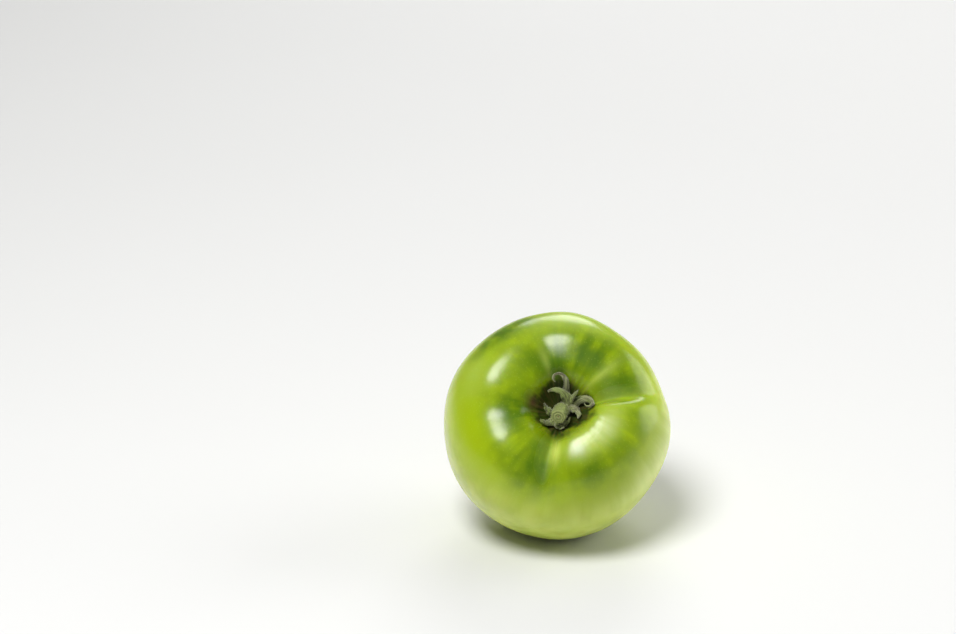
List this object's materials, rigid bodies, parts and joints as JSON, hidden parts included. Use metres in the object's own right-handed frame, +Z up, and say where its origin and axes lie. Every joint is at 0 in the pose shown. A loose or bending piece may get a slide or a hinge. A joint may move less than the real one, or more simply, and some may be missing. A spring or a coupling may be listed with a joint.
{
  "type": "green tomato",
  "caption": "Unripe ribbed green tomato as picked, lying on its flank with the stem pit, dried curled calyx and cut stem stub facing forward and up.",
  "frame": {"origin": "centre of the fruit's box at the height of the flat spot it rests on", "axes": "+Z up, away from the surface it rests on; -Y to the front, where the stem end faces; +X to the right as seen from the front"},
  "size_m": [0.0804, 0.0792, 0.0778],
  "materials": {
    "skin": "waxy, softly glossy skin, yellow-green mottled with darker green over the lobes and paler between them",
    "calyx": "dull, dried and hairy, green-grey to brown",
    "stem": "dull, finely hairy green stalk with a pale fibrous cut end"
  },
  "bodies": {
    "root": {"fruit": "skin", "calyx": "calyx", "stem": "stem"}
  },
  "joints": []
}
